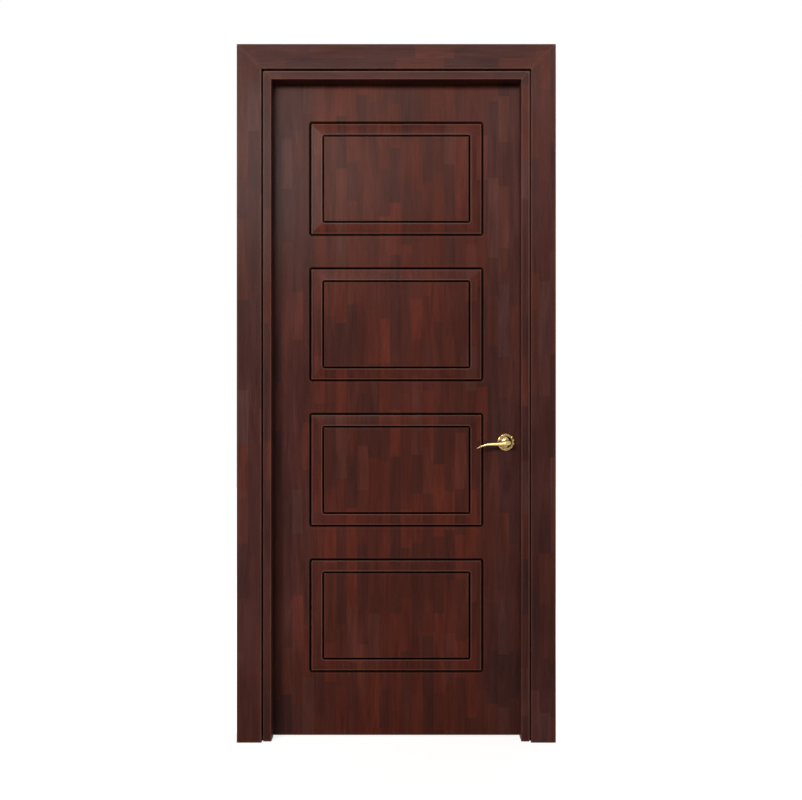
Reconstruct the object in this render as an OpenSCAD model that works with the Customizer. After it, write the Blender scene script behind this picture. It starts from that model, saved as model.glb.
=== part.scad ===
// Panelled interior door with its frame: a routed timber leaf hung in a rebated lining, with
// architraves on both faces, butt hinges, a lever handle on round roses and a passage latch.
// +X is the lock side, the front looks toward -Y, +Z is up and the floor is at Z = 0.

/* [Lining] */
// Clear width between the door stops
clear_w = 770; // [650:1:950]
// Clear height under the stop of the head
clear_h = 2040; // [1950:1:2250]
// Width of the lining's front edge that shows beside the opening
edge_w = 25; // [18:1:40]
// Width of the dark gap between that edge and the front architrave
shadow_gap = 4; // [2:0.5:8]
// Timber left outside the architrave's groove
groove_wall = 4.8; // [3:0.2:12]
// Height of the door stop above the rebate
stop_h = 18; // [14:1:22]
// Depth of the door stop from the front edge to its shoulder
stop_d = 66; // [45:1:120]
// Distance from the rebate to the rear architrave
rear_margin = 11; // [9:0.5:16]
// Radius of the arris on the lining's front edge
lining_arris = 2; // [0.5:0.5:4]
// Gap left in each mitre
mitre_gap = 0.3; // [0.1:0.1:1]
// Depth of the V cut along each mitre
mitre_v = 1.5; // [0.5:0.25:3]

/* [Architrave] */
// Face width of the architraves
arch_w = 76; // [50:1:110]
// Thickness of the architraves
arch_t = 15; // [10:0.5:25]
// Radius of the architraves' front arrises
arch_arris = 2; // [0.5:0.5:4]
// Thickness of the tongue on the architrave's back
tongue_t = 6; // [4:0.5:8]
// Length of the tongue
tongue_l = 12; // [6:0.5:16]
// Clearance round the tongue
tongue_fit = 0.2; // [0.1:0.05:0.5]

/* [Seal] */
// Space between the stop's shoulder and the closed leaf
seal_gap = 4; // [3:0.5:8]
// Width of the seal's pad
seal_w = 9; // [6:0.5:12]
// Thickness of the barb that holds the seal
barb_t = 2.6; // [2:0.2:4]
// Length of the barb
barb_l = 6; // [4:0.5:10]
// Clearance of the seal from the kerf and the leaf
seal_fit = 0.2; // [0.1:0.05:0.5]

/* [Leaf] */
// Thickness of the leaf
leaf_t = 40; // [36:1:54]
// Gap between the leaf and each jamb
side_gap = 3; // [2:0.5:5]
// Gap between the leaf and the head
top_gap = 3; // [2:0.5:5]
// Gap between the leaf and the floor
bottom_gap = 3; // [2:0.5:15]
// Chamfer on the leaf's upright edges
leaf_arris = 1; // [0.5:0.25:2]

/* [Panels] */
// Number of panels, one above the other
panel_rows = 4; // [2:1:6]
// Distance from the leaf's edge to the outer groove
stile_w = 130; // [100:1:170]
// Distance from the leaf's top to the top panel's outer groove
top_rail = 134; // [90:1:180]
// Distance between the outer grooves of two panels
cross_rail = 104; // [70:1:150]
// Distance from the leaf's bottom to the lowest panel's outer groove
bottom_rail = 198; // [120:1:260]
// Distance between the outer and the inner groove
border_w = 41; // [25:1:60]
// How far the crowned border falls toward the outer groove
border_drop = 3; // [1:0.25:4]
// Width of the outer groove
outer_groove_w = 9; // [6:0.25:10.5]
// Depth of the outer groove
outer_groove_d = 7.5; // [5:0.25:9]
// Corner radius of the outer groove's centre line
outer_corner_r = 6.5; // [6.5:0.25:12]
// Width of the inner groove
inner_groove_w = 7.25; // [5:0.25:8]
// Depth of the inner groove
inner_groove_d = 5.5; // [4:0.25:7]
// Corner radius of the inner groove's centre line
inner_corner_r = 4.75; // [4.75:0.25:10]
// Width of the flat left at the bottom of each groove
groove_floor_w = 1.6; // [1:0.2:3]
// Roundness of the border's crown, 0 for flat and 1 for a start level with the face
border_crown = 0.72; // [0.3:0.02:0.94]
// Lean of each groove's steep wall, on the border's side
groove_lean = 0.4; // [0.2:0.1:1]
// Radius of the grooves' lips
lip_r = 1; // [0.5:0.25:1.25]

/* [Hinges] */
// Height of each hinge
hinge_h = 100; // [75:1:125]
// Width of each hinge plate
hinge_w = 30; // [26:1:32]
// Thickness of each hinge plate
hinge_t = 2.5; // [2:0.25:3.5]
// Radius of the knuckles
knuckle_r = 6; // [5:0.5:8]
// Gap between the knuckles and the timber behind them
knuckle_clear = 0.5; // [0.4:0.1:1.5]
// Gap between neighbouring knuckles
knuckle_gap = 0.4; // [0.2:0.1:1]
// Radius of the hinge pin
pin_r = 3; // [2.5:0.25:4]
// Radius of the pin's heads
pin_head_r = 4.5; // [4:0.25:6]
// Height of the pin's heads
pin_head_h = 3; // [2:0.5:6]
// Clearance of the pin in the knuckles
pin_fit = 0.05; // [0.02:0.01:0.1]
// Leaf top to the centre of the top hinge
hinge_top = 220; // [150:1:300]
// Leaf bottom to the centre of the bottom hinge
hinge_bottom = 250; // [150:1:350]
// Clearance round plates let into timber
let_in_fit = 0.1; // [0.05:0.05:0.3]

/* [Latch] */
// Distance from the leaf's edge to the spindle
backset = 57; // [50:1:65]
// Height of the spindle above the floor
lever_z = 920; // [850:1:1100]
// Thickness of the latch case
case_t = 14; // [12:0.5:16]
// Wall of the latch case and its cover
case_wall = 1.5; // [1:0.25:2]
// Case behind the spindle
case_back = 28; // [27:1:35]
// Case below the spindle
case_low = 20; // [18:1:30]
// Height of the latch bolt
bolt_h = 18; // [14:1:22]
// Thickness of the latch bolt
bolt_t = 10; // [8:0.5:11]
// Middle of the latch bolt above the spindle
bolt_rise = 18; // [17:0.5:22]
// How far the latch bolt stands out
bolt_throw = 11; // [9:0.5:12]
// Length of the latch bolt's head inside the case
bolt_tail = 18; // [16:1:20]
// Side clearance of the latch bolt
bolt_fit = 0.3; // [0.2:0.05:0.5]
// Radius of the drawbar behind the bolt
drawbar_r = 2.5; // [2:0.25:3]
// Height of the drawbar above the spindle
drawbar_rise = 22; // [21:0.5:24]
// Thickness of the finger on the drawbar
finger_t = 4; // [3:0.5:6]
// Gap between the resting follower arm and the finger
finger_gap = 0.9; // [0.8:0.1:1.5]
// Radius of the follower's journals
journal_r = 7; // [6.5:0.25:8]
// Radius of the follower's hub inside the case
hub_r = 8; // [7.5:0.25:8.5]
// Reach of the follower's arm from the spindle
arm_reach = 18; // [16:0.5:18.5]
// Width of the follower's arm
arm_w = 6; // [4:0.5:7]
// Thickness of the follower's arm
arm_t = 4; // [3:0.5:6]
// Running clearance of the follower and the levers
turn_fit = 0.08; // [0.04:0.01:0.1]
// Mean radius of the latch spring
spring_r = 3.8; // [3.6:0.1:4.2]
// Wire radius of the latch spring
wire_r = 0.5; // [0.4:0.05:0.6]
// Number of turns of the latch spring
spring_turns = 6; // [4:1:8]
// Height of the forend
forend_h = 120; // [110:1:170]
// Width of the forend
forend_w = 22; // [20:1:24]
// Thickness of the forend
forend_t = 3; // [2:0.25:4]
// Middle of the forend above the spindle
forend_rise = 8; // [5:1:12]
// Radius of the case's rivets
rivet_r = 1.5; // [1.25:0.25:2]

/* [Strike] */
// Height of the strike plate
strike_h = 76; // [70:1:110]
// Width of the strike plate
strike_w = 25; // [22:1:30]
// Thickness of the strike plate
strike_t = 2; // [1.5:0.25:3]
// Height of the strike's lip
strike_lip_h = 36; // [30:1:50]
// Clearance of the bolt in the strike
strike_fit = 1; // [0.8:0.1:2]
// Depth of the pocket behind the strike
pocket_d = 14; // [13:0.5:16]

/* [Handle] */
// Side of the square spindle
spindle_w = 8; // [7:0.5:9]
// Clearance of each spindle face
spindle_fit = 0.1; // [0.05:0.05:0.2]
// How far the spindle reaches into each lever
spindle_grip = 34; // [25:1:40]
// Radius of the rose
rose_r = 27; // [25.5:0.5:32]
// Height of the rose
rose_h = 10; // [9:0.5:14]
// Height of the rose's rim bead
rose_bead_h = 5; // [4.5:0.25:6]
// Width of the rose's rim bead
rose_bead_w = 6; // [5:0.25:7]
// Number of flutes across the rose's rim
rose_flutes = 12; // [8:1:20]
// Radius of each flute
rose_flute_r = 4; // [2:0.25:5]
// Depth of each flute
rose_flute_d = 0.8; // [0.4:0.1:1.5]
// Radius of the rose's dome
rose_dome_r = 19; // [17.5:0.5:20]
// Wall of the rose's shell
rose_wall = 1.2; // [0.8:0.1:2]
// Thickness of the rose's base
rose_base_t = 2.4; // [2:0.1:3]
// Length of the base's spigot in the leaf
spigot_l = 8; // [5:0.5:10]
// Wall of the base's spigot
spigot_wall = 2.5; // [2:0.25:3.5]
// Radius of the lever's neck
neck_r = 8; // [7.5:0.25:9]
// Distance from the leaf to the middle of the lever's arm
lever_stand = 50; // [44:1:60]
// Length of the lever from the spindle to its tip
lever_len = 95; // [85:1:130]
// Length of the lever's heel past the spindle
lever_heel = 14; // [12:0.5:18]
// How far the lever's tip drops
lever_drop = 19; // [0:1:25]
// How far the lever's tip bends back to the leaf
lever_return = 6; // [0:0.5:12]
// Height of the lever at its heel
lever_hub_h = 20; // [16:0.5:22]
// Height of the lever's arm
lever_arm_h = 11.4; // [9:0.2:14]
// Height of the lever at its tip
lever_tip_h = 3; // [2:0.25:6]
// Thickness of the lever at its heel
lever_hub_t = 16; // [14:0.5:18]
// Thickness of the lever at its tip
lever_tip_t = 6; // [4:0.25:8]
// Radius of the grub screws
grub_r = 2; // [1.5:0.25:2.5]

/* [Screws] */
// Radius of the screws' shanks
screw_r = 2; // [1.5:0.1:2.5]
// Radius of the countersunk heads
screw_head_r = 3.8; // [3.2:0.1:4.5]
// Length of the screws in plates
screw_l = 16; // [12:1:17]
// Length of the screws in the rose bases
rose_screw_l = 9; // [7:0.5:10]
// Clearance of the screws in their holes
screw_fit = 0.05; // [0.02:0.01:0.2]
// Length of the cross recess in each screw's head
recess_l = 4.4; // [3:0.2:5]
// Width of the cross recess
recess_w = 0.9; // [0.6:0.1:1.2]
// Depth of the cross recess
recess_d = 1; // [0.6:0.1:1.4]
// Radius of the holes that fix the jambs to the wall
fixing_r = 2.75; // [2:0.25:4]
// Height of the lowest and distance of the highest fixing from the clear height
fixing_end = 120; // [80:1:140]
// Height of the lower inner fixing and distance of the upper one from the clear height
fixing_inner = 640; // [500:1:700]

/* [Hidden] */
$fn = 48;
eps = 0.5;
far = 3000;
timber = [0.36, 0.19, 0.16];
brass = [0.80, 0.62, 0.28];
steel = [0.62, 0.63, 0.65];
rubber = [0.12, 0.10, 0.09];

lining_d = stop_d + seal_gap + leaf_t;
front_u = edge_w + shadow_gap;
rear_u = stop_h + rear_margin;
lining_t = max(front_u, rear_u) + tongue_t + tongue_fit + groove_wall;
groove_d = tongue_l + tongue_fit;
seal_u = stop_h / 2;
seal_h = seal_gap - seal_fit;
rebate_x = clear_w / 2 + stop_h;

leaf_w = 2 * (rebate_x - side_gap);
leaf_h = clear_h + stop_h - top_gap - bottom_gap;
leaf_front = lining_d - leaf_t;
leaf_mid = lining_d - leaf_t / 2;
panel_w = leaf_w - 2 * stile_w;
panel_h = (leaf_h - top_rail - bottom_rail - (panel_rows - 1) * cross_rail) / panel_rows;
border_fall = atan(border_drop / border_w);
border_half_arc = border_fall * border_crown;
border_lip_y = (outer_groove_w / 2 + lip_r) * tan(border_fall + border_half_arc) - border_drop;

hinge_x = -(rebate_x - side_gap / 2);
hinge_y = lining_d + knuckle_clear + knuckle_r;
hinge_low_z = bottom_gap + hinge_bottom;
hinge_high_z = bottom_gap + leaf_h - hinge_top;
hinge_zs = [hinge_low_z, (hinge_low_z + hinge_high_z) / 2, hinge_high_z];
knuckle_n = 5;
knuckle_h = (hinge_h - (knuckle_n - 1) * knuckle_gap) / knuckle_n;
hinge_screw_y = hinge_w * 0.62;
hinge_screw_step = hinge_w * 0.1;
screw_head_h = screw_head_r - screw_r;

lock_x = leaf_w / 2 - backset;
case_front = backset - forend_t;
case_top = bolt_rise + bolt_h / 2 + 2 * case_wall + bolt_fit;
case_in = case_t / 2 - case_wall;
bolt_back = case_front - bolt_tail;
bolt_tip = backset + bolt_throw;
finger_x = -(arm_w / 2 + finger_gap);
bridge_t = 2;
bridge_x = hub_r;
finger_low = hub_r + 1;
rivet_in = rivet_r + case_wall + 1;

neck_bore_r = neck_r + turn_fit;
spigot_r = neck_bore_r + spigot_wall;
rose_base_r = rose_r - rose_wall - 1.5;
rose_screw_at = (rose_base_r + spigot_r) / 2;
lever_out = lever_stand + lever_hub_t / 2;
lever_rings = 30;
lever_sides = 24;

depth_mid = (lining_d + lever_out - arch_t) / 2;

// Moves the set so that its box is centred over the origin
module placed() {
    translate([0, -depth_mid, 0]) children();
}

// Mirrors the left side to the right
module on_right() {
    mirror([1, 0, 0]) children();
}

// Mirrors the front of the leaf to its rear
module on_rear() {
    translate([0, 2 * leaf_mid, 0]) mirror([0, 1, 0]) children();
}

// Places latch pieces about the spindle's axis
module at_lock() {
    translate([lock_x, leaf_mid, lever_z]) children();
}

// Turns an axis along Z to run along Y
module along_y() {
    rotate([-90, 0, 0]) children();
}

// Turns an axis along Z to run along X
module along_x() {
    rotate([0, 90, 0]) children();
}

// Corner waste that leaves an arris of radius r at the origin of the first quadrant
module arris_waste(r) {
    difference() {
        translate([-eps, -eps]) square(r + eps);
        translate([r, r]) circle(r);
    }
}

// Axes of the mitre at the left corner of the frame, with X across the mitre and Z along it
module at_mitre() {
    translate([-clear_w / 2, 0, clear_h]) rotate([0, -45, 0]) children();
}

// Waste on the head's side of the left mitre
module mitre_waste_above() {
    at_mitre() translate([-mitre_gap / 2, -far / 2, -far / 2]) cube([far, far, far]);
}

// Waste on the jamb's side of the left mitre
module mitre_waste_below() {
    at_mitre() translate([mitre_gap / 2 - far, -far / 2, -far / 2]) cube([far, far, far]);
}

// V cut along the left mitre in the face at depth y
module mitre_v_waste(y) {
    side = mitre_v * sqrt(2);
    at_mitre() translate([0, y, -far / 4]) rotate([0, 0, 45])
        translate([-side / 2, -side / 2, 0]) cube([side, side, far / 2]);
}

// Left upright of a frame section, cut to the mitre, with children as its profile
module left_leg(v_face) {
    difference() {
        translate([-clear_w / 2, 0, 0]) mirror([1, 0, 0])
            linear_extrude(clear_h + lining_t + arch_w) children();
        mitre_waste_above();
        mitre_v_waste(v_face);
    }
}

// Head of a frame section, cut to both mitres, with children as its profile
module head_rail(v_face) {
    long = clear_w + 2 * (lining_t + arch_w);
    difference() {
        translate([long / 2, 0, clear_h]) rotate([0, -90, 0]) linear_extrude(long) children();
        mitre_waste_below();
        on_right() mitre_waste_below();
        mitre_v_waste(v_face);
        on_right() mitre_v_waste(v_face);
    }
}

// Section of the lining: X runs out from the opening and Y runs back from the front edge
module lining_profile() {
    difference() {
        union() {
            square([lining_t, stop_d]);
            translate([stop_h, 0]) square([lining_t - stop_h, lining_d]);
        }
        translate([edge_w, -eps]) square([shadow_gap + tongue_t + tongue_fit, groove_d + eps]);
        translate([rear_u - tongue_fit, lining_d - groove_d])
            square([tongue_t + 2 * tongue_fit, groove_d + eps]);
        translate([seal_u - barb_t / 2 - seal_fit, stop_d - barb_l - seal_fit])
            square([barb_t + 2 * seal_fit, barb_l + seal_fit + eps]);
        arris_waste(lining_arris);
    }
}

// Section of a front architrave with its tongue
module architrave_profile() {
    difference() {
        union() {
            translate([front_u, -arch_t]) square([arch_w, arch_t]);
            translate([front_u, -eps]) square([tongue_t, tongue_l + eps]);
        }
        translate([front_u, -arch_t]) arris_waste(arch_arris);
        translate([front_u + arch_w, -arch_t]) mirror([1, 0]) arris_waste(arch_arris);
    }
}

// Section of a rear architrave
module rear_architrave_profile() {
    translate([rear_u - front_u, lining_d]) mirror([0, 1]) architrave_profile();
}

// Section of the seal with its pad and barb
module seal_profile() {
    translate([seal_u - barb_t / 2, stop_d - barb_l]) square([barb_t, barb_l + eps]);
    difference() {
        translate([seal_u - seal_w / 2, stop_d]) square([seal_w, seal_h]);
        translate([seal_u - seal_w / 2, stop_d + seal_h]) mirror([0, 1]) arris_waste(seal_h / 2);
        translate([seal_u + seal_w / 2, stop_d + seal_h]) rotate(180) arris_waste(seal_h / 2);
    }
}

// Heights of the holes that fix a jamb to the wall
function fixing_zs() = [fixing_end, fixing_inner, clear_h - fixing_inner, clear_h - fixing_end];

// Holes through the left jamb for its fixings
module fixing_waste() {
    for (z = fixing_zs())
        translate([-(clear_w / 2 + lining_t + eps), lining_d - leaf_t + groove_d, z])
            along_x() cylinder(r = fixing_r, h = lining_t - stop_h + 2 * eps);
}

// Countersunk screw with its head's top at Z = 0 and its shank along -Z, grown by a clearance
module screw(long, grow = 0) {
    difference() {
        union() {
            translate([0, 0, -long - grow]) cylinder(r = screw_r + grow, h = long + grow);
            translate([0, 0, -screw_head_h])
                cylinder(r1 = screw_r + grow, r2 = screw_head_r + grow, h = screw_head_h);
        }
        if (grow == 0) screw_recess();
    }
}

// Cross recess in a screw's head
module screw_recess() {
    for (a = [0, 90])
        rotate(a) translate([-recess_l / 2, -recess_w / 2, -recess_d])
            cube([recess_l, recess_w, recess_d + eps]);
}

// Offsets of a hinge plate's screws: along the plate, and back from its knuckle edge
function hinge_screws() = [
    for (i = [-1, 0, 1]) [i * hinge_h * 0.36, hinge_screw_y + (i == 0 ? -hinge_screw_step : hinge_screw_step)]
];

// Screws of the frame plates on all hinges
module frame_plate_screws(grow = 0) {
    for (z = hinge_zs)
        for (s = hinge_screws())
            translate([-rebate_x, lining_d - s[1], z + s[0]]) rotate([0, 90, 0]) screw(screw_l, grow);
}

// Screws of the leaf plates on all hinges
module leaf_plate_screws(grow = 0) {
    for (z = hinge_zs)
        for (s = hinge_screws())
            translate([-leaf_w / 2, lining_d - s[1], z + s[0]]) rotate([0, -90, 0]) screw(screw_l, grow);
}

// Hinge plate's seat in the timber, from a face at x toward the side given
module hinge_seats(x, side) {
    fit = let_in_fit;
    for (z = hinge_zs)
        translate([side > 0 ? x - eps : x - hinge_t, lining_d - hinge_w - fit, z - hinge_h / 2 - fit])
            cube([hinge_t + eps, hinge_w + fit + eps, hinge_h + 2 * fit]);
}

// Strike plate's outline in Y and Z about the bolt, grown by a clearance
module strike_outline(grow = 0) {
    translate([-strike_w / 2 - grow, -strike_h / 2 - grow])
        square([strike_w + 2 * grow, strike_h + 2 * grow]);
    translate([0, -strike_lip_h / 2 - grow]) square([leaf_t / 2 + grow, strike_lip_h + 2 * grow]);
}

// Places strike pieces on the lock jamb's rebate, with +Z pointing into the timber
module at_strike() {
    translate([rebate_x, leaf_mid, lever_z + bolt_rise]) rotate([90, 0, 90]) children();
}

// Opening for the bolt in the strike plate
module strike_hole(deep) {
    translate([-bolt_t / 2 - strike_fit, -bolt_h / 2 - strike_fit, -eps])
        cube([bolt_t + 2 * strike_fit, bolt_h + 2 * strike_fit, deep + eps]);
}

// Heights of the strike's screws about the bolt
function strike_screw_zs() = [for (i = [-1, 1]) i * (strike_h / 2 - 2.2 * screw_head_r)];

// Screws of the strike plate
module strike_screw_set(grow = 0) {
    at_strike() for (z = strike_screw_zs()) translate([0, z, 0]) rotate([180, 0, 0]) screw(screw_l, grow);
}

// Hinge-side jamb of the lining
module hinge_jamb() {
    color(timber) placed() difference() {
        left_leg(0) lining_profile();
        hinge_seats(-rebate_x, -1);
        frame_plate_screws(screw_fit);
        fixing_waste();
    }
}

// Lock-side jamb of the lining with the strike's seat and pocket
module lock_jamb() {
    color(timber) placed() difference() {
        on_right() left_leg(0) lining_profile();
        at_strike() translate([0, 0, -eps]) linear_extrude(strike_t + eps) strike_outline(let_in_fit);
        at_strike() strike_hole(pocket_d);
        strike_screw_set(screw_fit);
        on_right() fixing_waste();
    }
}

// Head of the lining
module head_jamb() {
    color(timber) placed() head_rail(0) lining_profile();
}

module front_hinge_architrave() {
    color(timber) placed() left_leg(-arch_t) architrave_profile();
}

module front_lock_architrave() {
    color(timber) placed() on_right() left_leg(-arch_t) architrave_profile();
}

module front_head_architrave() {
    color(timber) placed() head_rail(-arch_t) architrave_profile();
}

module rear_hinge_architrave() {
    color(timber) placed() left_leg(lining_d + arch_t) rear_architrave_profile();
}

module rear_lock_architrave() {
    color(timber) placed() on_right() left_leg(lining_d + arch_t) rear_architrave_profile();
}

module rear_head_architrave() {
    color(timber) placed() head_rail(lining_d + arch_t) rear_architrave_profile();
}

module hinge_seal() {
    color(rubber) placed() left_leg(-far) seal_profile();
}

module lock_seal() {
    color(rubber) placed() on_right() left_leg(-far) seal_profile();
}

module head_seal() {
    color(rubber) placed() head_rail(-far) seal_profile();
}

// Section of a routed groove: X runs from its steep wall to its sloped one, and the face is at Y = 0
module groove_profile(w, d, border_y) {
    steep = [groove_lean, -d];
    slope = [groove_lean + groove_floor_w - w, -d];
    low = [-w / 2 - steep[0] * border_y / d, border_y];
    lift = eps / d;
    polygon([
        [-w / 2 - groove_lean * lift, eps], [-w / 2 + groove_lean, -d],
        [-w / 2 + groove_lean + groove_floor_w, -d], [w / 2 - slope[0] * lift, eps]
    ]);
    lip_waste(low, -1, steep);
    lip_waste([w / 2, 0], 1, slope);
}

// Waste that rounds the lip at v between the face, which runs toward the side given, and a falling wall
module lip_waste(v, side, wall) {
    down = wall / norm(wall);
    reach = lip_r / tan(acos(side * down[0]) / 2);
    centre = v + [side * reach, -lip_r];
    difference() {
        polygon([v + [side * reach, 0], v + [side * reach, eps], v + [0, eps], v + reach * down, centre]);
        translate(centre) circle(lip_r);
    }
}

// Groove round a rectangle in the plane of X and Y, with corners of radius r and children as its section
module groove_loop(size, r) {
    half = size / 2;
    for (i = [0, 1], s = [-1, 1]) {
        run = (i == 0 ? size[0] : size[1]) - 2 * r;
        out = i == 0 ? half[1] : half[0];
        rotate(i * 90 + (s > 0 ? 0 : 180)) translate([-run / 2, out, 0])
            rotate([90, 0, 90]) linear_extrude(run) children();
    }
    for (i = [0:3]) {
        corner = i % 2 == 0 ? [half[0] - r, half[1] - r] : [half[1] - r, half[0] - r];
        rotate(i * 90) translate([corner[0], corner[1], 0])
            rotate_extrude(angle = 90) translate([r, 0]) children();
    }
}

// Section of the waste over the crowned border: X runs inward from the outer groove
module border_profile() {
    chord = norm([border_w, border_drop]);
    r = chord / 2 / sin(border_half_arc);
    deep = r * cos(border_half_arc);
    difference() {
        translate([0, -border_drop]) square([border_w, border_drop + eps]);
        translate([border_w / 2 + deep * sin(border_fall), -border_drop / 2 - deep * cos(border_fall)])
            circle(r, $fn = 720);
    }
}

// Waste over the border of one panel, one straight cut along each side
module border_waste() {
    for (i = [0, 1], s = [0, 1]) {
        run = i == 0 ? panel_w : panel_h;
        out = (i == 0 ? panel_h : panel_w) / 2;
        rotate(i * 90 + s * 180) translate([-run / 2, out, 0])
            rotate([90, 0, 90]) linear_extrude(run) mirror([1, 0]) border_profile();
    }
}

// Everything routed out of one face for one panel, with the face at Z = 0
module panel_waste() {
    groove_loop([panel_w, panel_h], outer_corner_r)
        groove_profile(outer_groove_w, outer_groove_d, border_lip_y);
    groove_loop([panel_w - 2 * border_w, panel_h - 2 * border_w], inner_corner_r)
        mirror([1, 0]) groove_profile(inner_groove_w, inner_groove_d, 0);
    border_waste();
}

// Panels routed into the leaf's front face
module panel_set() {
    for (i = [0:panel_rows - 1])
        translate([0, leaf_front, bottom_gap + bottom_rail + panel_h / 2 + i * (panel_h + cross_rail)])
            rotate([90, 0, 0]) panel_waste();
}

// Latch case's room in the leaf
module latch_mortise() {
    fit = let_in_fit;
    at_lock() {
        translate([-case_back - fit, -case_t / 2 - fit, -case_low - fit])
            cube([case_back + backset + eps, case_t + 2 * fit, case_low + case_top + 2 * fit]);
        translate([case_front, -forend_w / 2 - fit, forend_rise - forend_h / 2 - fit])
            cube([forend_t + eps, forend_w + 2 * fit, forend_h + 2 * fit]);
        translate([0, -leaf_t / 2 - eps, 0])
            along_y() cylinder(r = spigot_r + let_in_fit, h = leaf_t + 2 * eps);
    }
}

// Section of the leaf seen from above
module leaf_section() {
    a = leaf_arris;
    polygon([
        [-leaf_w / 2 + a, 0], [leaf_w / 2 - a, 0], [leaf_w / 2, a], [leaf_w / 2, leaf_t - a],
        [leaf_w / 2 - a, leaf_t], [-leaf_w / 2 + a, leaf_t], [-leaf_w / 2, leaf_t - a], [-leaf_w / 2, a]
    ]);
}

// Door leaf: one glued-up board with the panels routed into both faces
module door_leaf() {
    color(timber) placed() difference() {
        translate([0, leaf_front, bottom_gap]) linear_extrude(leaf_h) leaf_section();
        panel_set();
        on_rear() panel_set();
        hinge_seats(-leaf_w / 2, 1);
        leaf_plate_screws(screw_fit);
        latch_mortise();
        forend_screw_set(screw_fit);
        rose_screw_set(screw_fit);
    }
}

// One knuckle plate: its plate at x, and the knuckles whose numbers are given, about z
module hinge_plate(x, z, knuckles) {
    difference() {
        union() {
            translate([x, lining_d - hinge_w, z - hinge_h / 2]) cube([hinge_t, hinge_w, hinge_h]);
            for (k = knuckles) {
                low = z - hinge_h / 2 + k * (knuckle_h + knuckle_gap);
                translate([x, lining_d - eps, low]) cube([hinge_t, hinge_y - lining_d + eps, knuckle_h]);
                translate([hinge_x, hinge_y, low]) cylinder(r = knuckle_r, h = knuckle_h);
            }
        }
        translate([hinge_x, hinge_y, z - hinge_h]) cylinder(r = pin_r + pin_fit, h = 2 * hinge_h);
        children();
    }
}

// Frame plate of the hinge with the given number
module hinge_frame_plate(i) {
    color(brass) placed()
        hinge_plate(-rebate_x - hinge_t, hinge_zs[i], [0, 2, 4]) frame_plate_screws(screw_fit);
}

// Leaf plate of the hinge with the given number
module hinge_leaf_plate(i) {
    color(brass) placed() hinge_plate(-leaf_w / 2, hinge_zs[i], [1, 3]) leaf_plate_screws(screw_fit);
}

// Pin with a head at each end for the hinge with the given number
module hinge_pin(i) {
    color(steel) placed() translate([hinge_x, hinge_y, hinge_zs[i] - hinge_h / 2]) {
        cylinder(r = pin_r, h = hinge_h);
        translate([0, 0, hinge_h]) cylinder(r1 = pin_head_r, r2 = pin_head_r * 0.7, h = pin_head_h);
        translate([0, 0, -pin_head_h]) cylinder(r1 = pin_head_r * 0.7, r2 = pin_head_r, h = pin_head_h);
    }
}

module low_hinge_frame_plate() { hinge_frame_plate(0); }
module mid_hinge_frame_plate() { hinge_frame_plate(1); }
module high_hinge_frame_plate() { hinge_frame_plate(2); }
module low_hinge_leaf_plate() { hinge_leaf_plate(0); }
module mid_hinge_leaf_plate() { hinge_leaf_plate(1); }
module high_hinge_leaf_plate() { hinge_leaf_plate(2); }
module low_hinge_pin() { hinge_pin(0); }
module mid_hinge_pin() { hinge_pin(1); }
module high_hinge_pin() { hinge_pin(2); }

module hinge_frame_screws() {
    color(brass) placed() frame_plate_screws();
}

module hinge_leaf_screws() {
    color(brass) placed() leaf_plate_screws();
}

// Places of the rivets that hold the cover on the case
function rivet_places() = [
    [-case_back + rivet_in, case_top - rivet_in],
    [-case_back + rivet_in, -case_low + rivet_in],
    [case_front - rivet_in, -case_low + rivet_in]
];

// Bores that the case and its cover share: the follower's journal and the rivets
module case_bores() {
    translate([0, -case_t, 0]) along_y() cylinder(r = journal_r + turn_fit, h = 2 * case_t);
    for (p = rivet_places())
        translate([p[0], -case_t, p[1]]) along_y() cylinder(r = rivet_r + screw_fit, h = 2 * case_t);
}

// Latch case: a tray open to the front, with rivet posts and a bridge that guides the drawbar
module latch_case() {
    long = case_back + case_front;
    tall = case_low + case_top;
    color(steel) placed() at_lock() difference() {
        union() {
            difference() {
                translate([-case_back, -case_in, -case_low]) cube([long, case_in + case_t / 2, tall]);
                translate([-case_back + case_wall, -case_in - eps, -case_low + case_wall])
                    cube([long - 2 * case_wall, 2 * case_in + eps, tall - 2 * case_wall]);
            }
            for (p = rivet_places())
                translate([p[0], -case_in, p[1]])
                    along_y() cylinder(r = rivet_r + case_wall, h = 2 * case_in + eps);
            translate([bridge_x, -case_in, arm_reach - 1])
                cube([bridge_t, 2 * case_in + eps, case_top - arm_reach + 1 - case_wall / 2]);
        }
        case_bores();
        translate([0, 0, drawbar_rise]) along_x() cylinder(r = drawbar_r + bolt_fit, h = case_front);
        translate([case_front - 2 * case_wall, -bolt_t / 2 - bolt_fit, bolt_rise - bolt_h / 2 - bolt_fit])
            cube([3 * case_wall, bolt_t + 2 * bolt_fit, bolt_h + 2 * bolt_fit]);
    }
}

// Cover plate of the latch case
module latch_cover() {
    color(steel) placed() at_lock() difference() {
        translate([-case_back, -case_t / 2, -case_low])
            cube([case_back + case_front, case_wall, case_low + case_top]);
        case_bores();
    }
}

// Rivets through case and cover
module case_rivets() {
    color(steel) placed() at_lock() for (p = rivet_places())
        translate([p[0], -case_t / 2, p[1]]) along_y() cylinder(r = rivet_r, h = case_t);
}

// Heights of the forend's screws above the spindle
function forend_screw_zs() = [for (i = [-1, 1]) forend_rise + i * (forend_h / 2 - 2 * screw_head_r)];

// Screws of the forend, along -X into the leaf
module forend_screw_set(grow = 0) {
    for (z = forend_screw_zs())
        translate([leaf_w / 2, leaf_mid, lever_z + z]) rotate([0, 90, 0]) screw(screw_l, grow);
}

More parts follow.
